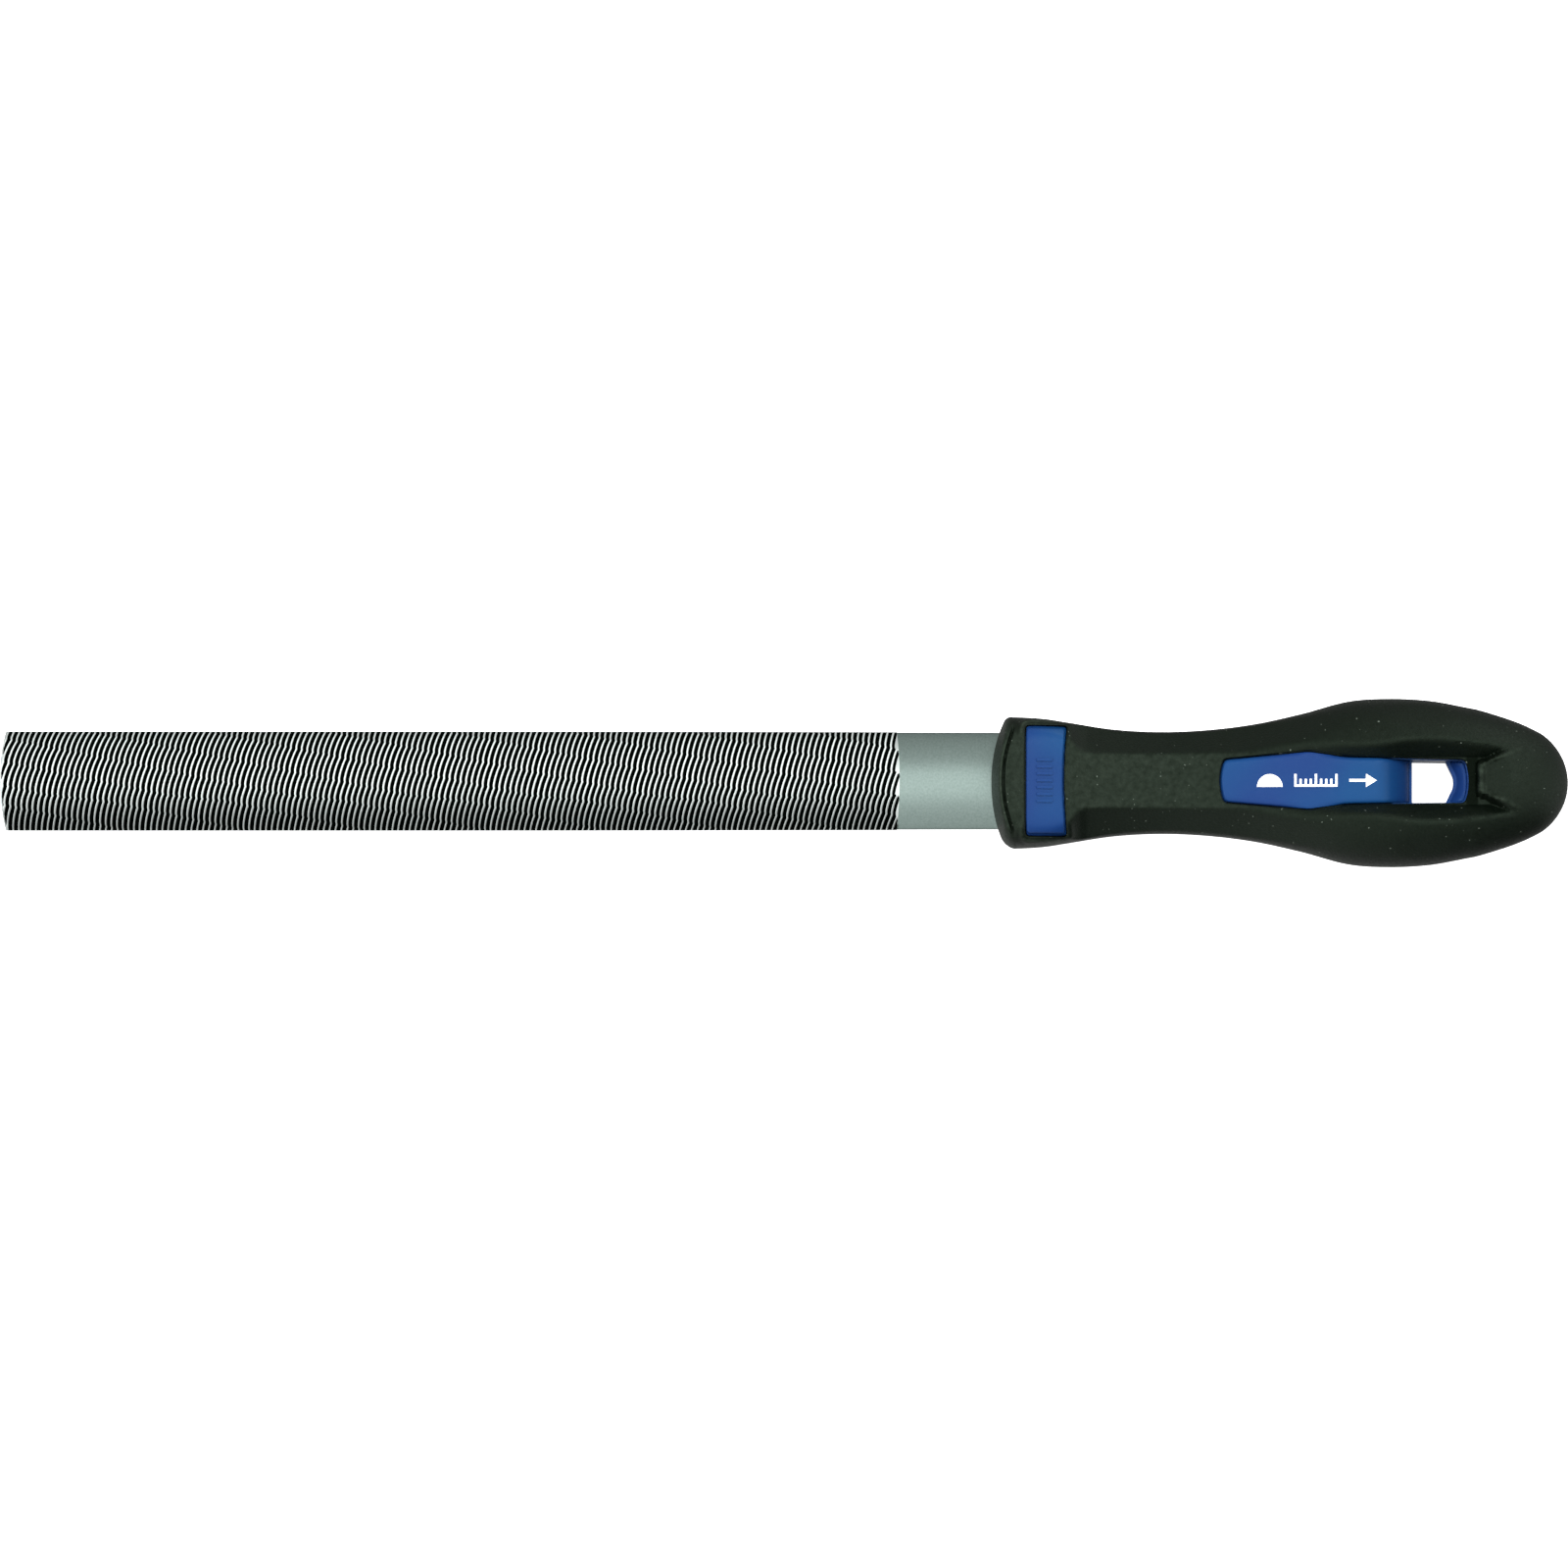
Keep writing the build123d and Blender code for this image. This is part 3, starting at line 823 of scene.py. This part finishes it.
def paint_light_and_shade(grip):
    """Keeps a "sheen" value on each vertex of the grip, for its material.

    It paints light and shade: -1 is painted shade in the sheltered corner by the tongue, 0 the sides,
    1 painted light on the flats that face up, and more the painted highlights on the tongue's bead and
    ridges, the front rim and the welts.
    """
    mesh = grip.data
    places = np.empty(len(mesh.vertices) * 3)
    normals = np.empty(len(mesh.vertices) * 3)
    mesh.vertices.foreach_get("co", places)
    mesh.vertices.foreach_get("normal", normals)
    x, y, z = places.reshape(-1, 3).T / MM
    side = np.abs(y)
    facing = np.abs(normals.reshape(-1, 3)[:, 2])
    # Painted light: faces that look up are paler, fading over the rear half towards the butt.
    flat = smooth_step((facing - 0.74) / 0.2) * (1 - 0.85 * smooth_step((x - 82) / 22))
    past, aside, half = by_tongue(x, y)
    # Painted highlights: glints on the tongue's bead and along its ridges.
    bead = hump(past, TONGUE_BEAD_PAST, 0.7) * hump(aside, 1.9, 0.9)
    ridge = hump(aside - half, -0.3, 0.35)
    ridge = ridge * smooth_step((past - 1.5) / 2) * smooth_step((10 - past) / 2)
    # Painted shade in the corner between the window's end and the tongue.
    corner = smooth_step((x - 138.6) / 0.8) * smooth_step((141.7 - x) / 0.4)
    corner = corner * smooth_step((5.5 - side) / 1)
    # Painted highlight along the rim of the front face.
    rim = smooth_step((0.9 - (x - front_dome(y, z - AXIS_Z))) / 0.4)
    # Painted highlights: thin arcs on the welts beside the front window's ends.
    welt = hump(outline_distance(front_window(), x, y), 0.85, 0.25)
    welt = welt * smooth_step((side - 9) / 1.5) * smooth_step(57 - x)
    tongue = (z > AXIS_Z + 2) * (3.2 * bead + 1.5 * ridge - 1.2 * corner)
    keep_values(mesh, "sheen", flat + tongue + 0.8 * rim + 2.5 * welt)


def pad_surface(raised=0.0):
    """The hard core's surface in the windows: crowned pads that round off deeply into the hole."""
    grid = handle_grid((49.2, 57.4, 89.5, 124.0, 127.5, 137.2, 139.2))
    normals = grid_normals(grid)
    x, y = grid[..., 0], grid[..., 1]
    front = -outline_distance(front_window(PAD_GAP), x, y)
    rear = -outline_distance(rear_window(PAD_GAP), x, y)
    hole = outline_distance(hanging_hole(), x, y)
    by_front = x < 70
    sunk = np.where(by_front, PAD_SINK_FRONT, PAD_SINK_REAR)
    roll = np.where(by_front, PAD_ROLL_FRONT, PAD_ROLL_REAR)
    sunk = sunk + roll_off(np.where(by_front, front, rear), roll)
    for start, run, depth in PAD_DIPS:
        sunk = sunk + depth * smooth_step((x - start) / run)
    lowered = grid - normals * (sunk - raised)[..., None]
    lowered[..., 2] -= np.sign(grid[..., 2]) * roll_off(np.maximum(hole, 0.02), HOLE_EDGE_RADIUS)
    return lowered


def half_round_mark(start):
    """Outline of a half-round section, its flat side down."""
    radius = 2 * SIGN_HALF
    turns = np.linspace(0, math.pi, 17)
    return [[(start + radius + radius * math.cos(a), radius * math.sin(a) - SIGN_HALF) for a in turns]]


def scale_mark(start, end):
    """Outlines of a short rule: a base line with long and short ticks."""
    low, line_top, foot = -SIGN_HALF, -0.85, -0.86
    marks = [[(start, low), (end, low), (end, line_top), (start, line_top)]]
    for k in range(9):
        x = start + (end - start - SIGN_LINE) * k / 8
        top = SIGN_HALF if k % 4 == 0 else 0.3
        marks.append([(x, foot), (x + SIGN_LINE, foot), (x + SIGN_LINE, top), (x, top)])
    return marks


def arrow_mark(start, end):
    """Outline of an arrow along the tool."""
    neck, half, barb = end - 2.2, 0.28, 1.35
    left = [(start, half), (neck, half), (neck, barb)]
    right = [(x, -y) for x, y in left]
    return [[*right, (end, 0), *reversed(left)]]


def printed_marks(core):
    """The white signs on the rear panel, as one skin of ink over the core."""
    inks = []
    for outline in half_round_mark(96.4) + scale_mark(104.0, 112.8) + arrow_mark(115.2, 120.8):
        ink = closed_grid("ink_sign", pad_surface(INK_THICKNESS))
        combine(ink, prism(outline, MARK_FLOOR, FAR), "INTERSECT")
        combine(ink, duplicate(core), "DIFFERENCE")
        inks.append(ink)
    for ink in inks[1:]:
        combine(inks[0], ink, "UNION")
    smooth_shade(inks[0], 30)
    return inks[0]


def raised_bars(core):
    """The row of small raised bars on the front pad."""
    for k in range(-3, 4):
        low, high = BAR_PITCH * k - BAR_HALF, BAR_PITCH * k + BAR_HALF
        outline = [(BAR_START_X, low), (BAR_END_X, low), (BAR_END_X, high), (BAR_START_X, high)]
        bar = closed_grid("tool", pad_surface(BAR_HEIGHT))
        combine(bar, prism(outline, MARK_FLOOR, FAR), "INTERSECT")
        combine(core, bar, "UNION")


def duplicate(source):
    """A copy of an object with a mesh of its own."""
    copy = source.copy()
    copy.data = source.data.copy()
    bpy.context.scene.collection.objects.link(copy)
    return copy


def blade_block(grow):
    """The space that the blade takes up inside the handle, grown all round."""
    samples = 40
    share = np.linspace(-1, 1, samples)
    y = (BLADE_HALF - CREST_RISE) * WIDTH_SHARE[-1][1] * share + grow * share
    upper = arc_height(y * 0.98, CREST_RISE) + grow
    lower = np.full(samples, CREST_RISE - BLADE_HALF_THICK - grow)
    rows = []
    for x in (HANDLE_FRONT_X - 2, TANG_ROOT_X):
        over = np.stack([np.full(samples, x), y + BLADE_OFFSET, upper], -1)
        under = np.stack([np.full(samples, x), y + BLADE_OFFSET, lower], -1)
        rows.append(np.concatenate([over, under[::-1]]))
    return closed_grid("tool", np.array(rows))


def coarse_core():
    """The hidden body of the core, inside the grip."""
    xs = np.linspace(CORE_FRONT_X, CORE_REAR_X, 54)
    angles = full_turn(line_angles(xs)[:, ::4])
    return closed_grid("handle_core_moulding", grown_out(xs[:, None] + 0 * angles, angles, WALL))


def build_handle():
    """The grip and the core, cut from each other as the two mouldings are."""
    halves = ((WINDOW_FLOOR, FAR), (-FAR, -WINDOW_FLOOR))
    grip = closed_grid("grip_moulding", grip_surface())
    combine(grip, coarse_core(), "DIFFERENCE")
    for outline in (front_window(), rear_window()):
        for low, high in halves:
            combine(grip, prism(outline, low, high), "DIFFERENCE")
    combine(grip, blade_block(0.12), "DIFFERENCE")
    smooth_shade(grip, 40)
    paint_light_and_shade(grip)

    core = coarse_core()
    for outline in (front_window(PAD_GAP), rear_window(PAD_GAP)):
        for low, high in halves:
            # The pads reach 1 mm deeper than the room cut for them, so the two join
            out = math.copysign(1, low + high)
            combine(core, prism(outline, low + out, high + out), "DIFFERENCE")
            pads = closed_grid("tool", pad_surface())
            combine(pads, prism(outline, low, high), "INTERSECT")
            combine(core, pads, "UNION")
    combine(core, prism(hanging_hole()), "DIFFERENCE")
    combine(core, blade_block(0.05), "DIFFERENCE")
    raised_bars(core)
    smooth_shade(core, 40)
    return grip, core


# ---------------------------------------------------------------- materials

def node_adder(tree):
    """A function that adds a node of a kind to the tree with its settings."""
    def add(kind, **settings):
        node = tree.nodes.new(kind)
        for key, value in settings.items():
            if key in node.inputs:
                node.inputs[key].default_value = value
            else:
                setattr(node, key, value)
        return node

    return add


def new_material(name):
    """A material, its tree's links, its shader and a function that adds nodes."""
    material = bpy.data.materials.new(name)
    material.use_nodes = True
    tree = material.node_tree
    return material, tree.links, tree.nodes["Principled BSDF"], node_adder(tree)


def grain(add, links, scale, detail):
    """A noise texture's value; the scale is in lumps to the metre."""
    place = add("ShaderNodeTexCoord")
    noise = add("ShaderNodeTexNoise", Scale=scale, Detail=detail)
    links.new(place.outputs["Object"], noise.inputs["Vector"])
    return noise.outputs["Fac"]


def two_tone(add, links, share, first, second):
    """A colour between two, taken by the share. Each is a colour or a node's output."""
    mix = add("ShaderNodeMix", data_type="RGBA")
    for socket, colour in ((mix.inputs["A"], first), (mix.inputs["B"], second)):
        if isinstance(colour, tuple):
            socket.default_value = (*colour, 1)
        else:
            links.new(colour, socket)
    links.new(share, mix.inputs["Factor"])
    return mix.outputs["Result"]


def spread(add, links, value, low, high, to_low=0, to_high=1):
    """The value moved from one range to another, and held there."""
    node = add("ShaderNodeMapRange")
    settings = {"From Min": low, "From Max": high, "To Min": to_low, "To Max": to_high}
    for key, setting in settings.items():
        node.inputs[key].default_value = setting
    links.new(value, node.inputs["Value"])
    return node.outputs["Result"]


def add_bump(add, links, shader, height, distance):
    """Roughens the surface by the height, a full step of which is distance in millimetres."""
    bump = add("ShaderNodeBump", Distance=distance * MM)
    links.new(height, bump.inputs["Height"])
    links.new(bump.outputs["Normal"], shader.inputs["Normal"])


def steel_material():
    """Satin ground steel. The teeth's crests are freshly cut steel painted brighter as a highlight,
    and the gullets are painted near-black as shade with a little dark oxide.
    """
    material, links, shader, add = new_material("ground_steel")
    gullet = add("ShaderNodeAttribute", attribute_name="gullet").outputs["Fac"]
    cut = add("ShaderNodeAttribute", attribute_name="cut").outputs["Fac"]
    # Painted shade and highlight: deep in the gullets the steel turns near-black, dull and without
    # reflection, and the crests take the bright painted-highlight colour.
    bright = spread(add, links, gullet, 0.06, 0.17, 1, 0)
    teeth = two_tone(add, links, bright, GULLET_SHADE_STEEL, CREST_HIGHLIGHT_STEEL)
    fine = grain(add, links, 2400, 3)
    drift = spread(add, links, fine, 0.3, 0.7)
    heel = two_tone(add, links, drift, HEEL_STEEL_DARK, HEEL_STEEL_LIGHT)
    links.new(two_tone(add, links, cut, heel, teeth), shader.inputs["Base Color"])
    links.new(bright, shader.inputs["Metallic"])
    links.new(bright, shader.inputs["Specular IOR Level"])
    links.new(spread(add, links, cut, 0, 1, 0.34, 0.45), shader.inputs["Roughness"])
    add_bump(add, links, shader, fine, 0.006)
    return material


def blue_material():
    """Hard blue plastic with a faint drift of hue and a soft sheen."""
    material, links, shader, add = new_material("blue_polypropylene")
    drift = spread(add, links, grain(add, links, 55, 1), 0.35, 0.65)
    base = two_tone(add, links, drift, BLUE_VIOLET, BLUE_TEAL)
    links.new(base, shader.inputs["Base Color"])
    fine = grain(add, links, 1500, 3)
    links.new(spread(add, links, fine, 0.3, 0.7, 0.3, 0.4), shader.inputs["Roughness"])
    shader.inputs["Specular IOR Level"].default_value = 0.3
    shader.inputs["Specular Tint"].default_value = BLUE_SHEEN
    add_bump(add, links, shader, fine, 0.01)
    return material


def rubber_material():
    """Matt black elastomer with a sandy grain and a few specks of dust, and painted light: paler flats
    that face up, painted highlights on ridges and rims, and painted shade in one corner.
    """
    material, links, shader, add = new_material("black_elastomer")
    lumps = spread(add, links, grain(add, links, 900, 4), 0.3, 0.7)
    sides = two_tone(add, links, lumps, SIDES_DARK, SIDES_LIGHT)
    flats = two_tone(add, links, lumps, LIT_FLATS_DARK, LIT_FLATS_LIGHT)
    # The sheen value carries painted light and shade: paler flats and painted highlights, and painted
    # shade in the corner by the tongue.
    sheen = add("ShaderNodeAttribute", attribute_name="sheen").outputs["Fac"]
    painted_light_rubber = two_tone(add, links, spread(add, links, sheen, 0, 2.4, 0, 1.2), sides, flats)
    specks = spread(add, links, grain(add, links, 1700, 0), 0.83, 0.87, 0, 0.5)
    links.new(two_tone(add, links, specks, painted_light_rubber, DUST), shader.inputs["Base Color"])
    # Painted shade: in the corner by the tongue the rubber keeps little of its specular gloss.
    level = spread(add, links, sheen, -1, 0, 0.08, 0.3)
    links.new(level, shader.inputs["Specular IOR Level"])
    fine = grain(add, links, 2200, 4)
    links.new(spread(add, links, fine, 0.3, 0.7, 0.42, 0.6), shader.inputs["Roughness"])
    shader.inputs["Specular Tint"].default_value = RUBBER_SHEEN
    add_bump(add, links, shader, fine, 0.09)
    return material


def ink_material():
    """White pad-printing ink, a little thin in places."""
    material, links, shader, add = new_material("white_ink")
    cover = spread(add, links, grain(add, links, 1800, 3), 0.3, 0.7)
    links.new(two_tone(add, links, cover, INK_THIN, INK_FULL), shader.inputs["Base Color"])
    shader.inputs["Roughness"].default_value = 0.55
    shader.inputs["Specular IOR Level"].default_value = 0.3
    add_bump(add, links, shader, cover, 0.01)
    return material


# ---------------------------------------------------------------- floor, lights and camera

def build_stage():
    """A plain pale floor that shows white and neither lights the object nor shows in its gloss."""
    bpy.ops.mesh.primitive_plane_add(size=12, location=(0, 0, 0))
    floor = bpy.context.object
    floor.name = "floor"
    material, _, shader, _ = new_material("pale_floor")
    shader.inputs["Base Color"].default_value = (0.9, 0.9, 0.9, 1)
    shader.inputs["Roughness"].default_value = 0.9
    shader.inputs["Emission Color"].default_value = (1, 1, 1, 1)
    shader.inputs["Emission Strength"].default_value = 1.0
    floor.data.materials.append(material)
    floor.visible_glossy = False
    floor.visible_diffuse = False


def add_light(name, place, size, radiance):
    """A softbox that faces the object's middle."""
    data = bpy.data.lights.new(name, "AREA")
    data.shape = "RECTANGLE"
    data.size, data.size_y = size
    data.energy = radiance * math.pi * size[0] * size[1]
    light = bpy.data.objects.new(name, data)
    bpy.context.scene.collection.objects.link(light)
    light.location = place
    light.rotation_mode = "QUATERNION"
    light.rotation_quaternion = (-Vector(place)).to_track_quat("-Z", "Y")
    return light


def build_world():
    """A tent of soft light, brightest overhead, with a black flag on its -Y side."""
    world = bpy.data.worlds.new("studio")
    bpy.context.scene.world = world
    world.use_nodes = True
    tree = world.node_tree
    links, add = tree.links, node_adder(tree)
    split = add("ShaderNodeSeparateXYZ")
    links.new(add("ShaderNodeTexCoord").outputs["Generated"], split.inputs["Vector"])
    tent = add("ShaderNodeValToRGB")
    ramp = tent.color_ramp
    while len(ramp.elements) < len(TENT):
        ramp.elements.new(0.5)
    for element, (place, grey) in zip(ramp.elements, TENT):
        element.position, element.color = place, (grey, grey, grey, 1)
    links.new(spread(add, links, split.outputs["Y"], -1, 1), tent.inputs["Fac"])
    above = spread(add, links, split.outputs["Z"], -0.5, -0.12, TENT_BELOW, TENT_SCALE)
    # The flag stands beyond the handle and dims the crests along the -Y edge
    flag = add("ShaderNodeMath", operation="MULTIPLY")
    links.new(spread(add, links, split.outputs["X"], 0.08, 0.26), flag.inputs[0])
    links.new(spread(add, links, split.outputs["Y"], -0.42, -0.7), flag.inputs[1])
    shown = add("ShaderNodeMapRange")
    shown.inputs["To Max"].default_value = 0
    links.new(flag.outputs["Value"], shown.inputs["Value"])
    links.new(above, shown.inputs["To Min"])
    background = tree.nodes["Background"]
    links.new(tent.outputs["Color"], background.inputs["Color"])
    links.new(shown.outputs["Result"], background.inputs["Strength"])


def build_lights():
    """Softboxes that light the teeth's crests, and one overhead that shows in no gloss."""
    for softbox in SOFTBOXES:
        add_light(*softbox)
    overhead = add_light(*OVERHEAD)
    overhead.visible_glossy = False


def build_camera():
    """A long lens, nearly overhead, that takes in the tool's whole length."""
    data = bpy.data.cameras.new("camera")
    data.lens = CAMERA_LENS
    data.sensor_width = CAMERA_SENSOR
    data.clip_start, data.clip_end = 0.1, 50
    camera = bpy.data.objects.new("camera", data)
    bpy.context.scene.collection.objects.link(camera)
    bpy.context.scene.camera = camera
    low, high = CAD_BOX
    elevation = math.radians(CAMERA_ELEVATION)
    width = high.x - low.x
    away = width / 2 / math.tan(math.atan(CAMERA_SENSOR / 2 / CAMERA_LENS))
    middle = Vector(((low.x + high.x) / 2, CAMERA_AIM_Y * MM, AXIS_Z * MM))
    back = Vector((0, -math.cos(elevation), math.sin(elevation)))
    camera.location = middle + back * away
    camera.rotation_mode = "QUATERNION"
    camera.rotation_quaternion = (-back).to_track_quat("-Z", "Y")
    bpy.context.scene.view_settings.view_transform = "Standard"


def main():
    steel, blue, rubber = steel_material(), blue_material(), rubber_material()
    ink = ink_material()
    blade = build_blade()
    finish_piece(blade, steel)
    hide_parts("blade")
    grip, core = build_handle()
    finish_piece(grip, rubber)
    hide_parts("grip")
    finish_piece(core, blue)
    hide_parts("handle_core")
    finish_piece(printed_marks(core), ink)
    build_stage()
    build_world()
    build_lights()
    build_camera()


main()
